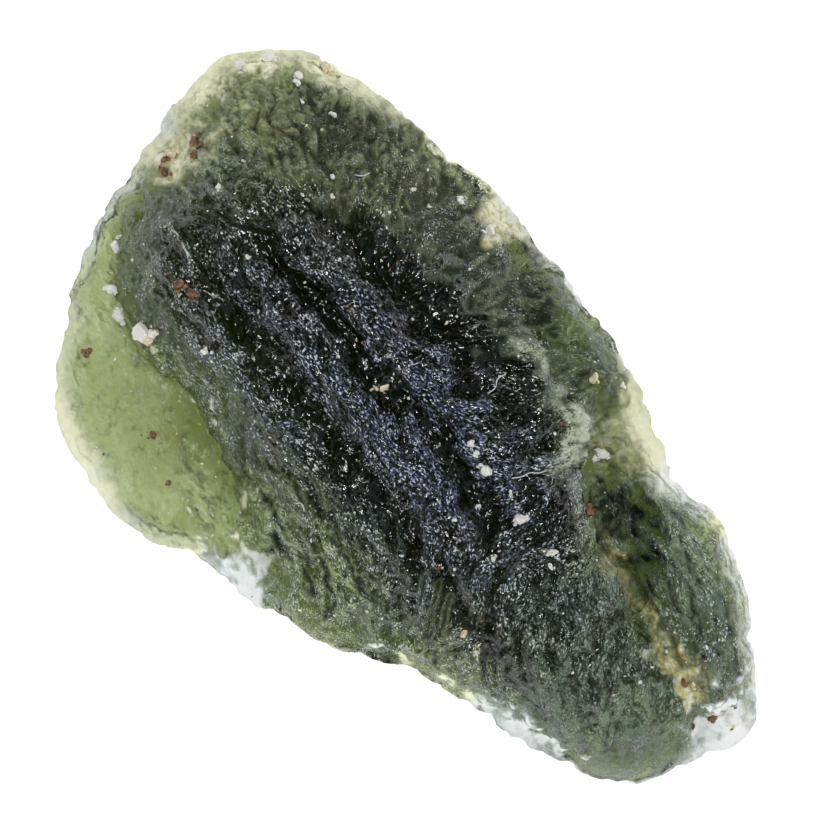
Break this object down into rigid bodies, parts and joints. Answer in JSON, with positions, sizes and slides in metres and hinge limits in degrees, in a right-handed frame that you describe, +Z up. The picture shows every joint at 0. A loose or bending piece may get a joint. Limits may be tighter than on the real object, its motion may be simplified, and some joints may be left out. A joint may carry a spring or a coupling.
{
  "type": "raw moldavite",
  "caption": "Raw moldavite, a small flattish natural piece of green impact glass with an etched and furrowed surface, lying on its worn underside.",
  "frame": {"origin": "on the surface that the stone rests on, under the middle of the stone's box", "axes": "+X along the length, from the broad end to the narrow end; +Z up, through the thickness"},
  "size_m": [0.024, 0.014, 0.0062],
  "materials": {
    "moldavite_glass": "etched, frosted natural glass, clear where it is thin"
  },
  "bodies": {
    "root": {"moldavite_stone": "moldavite_glass"}
  },
  "joints": []
}
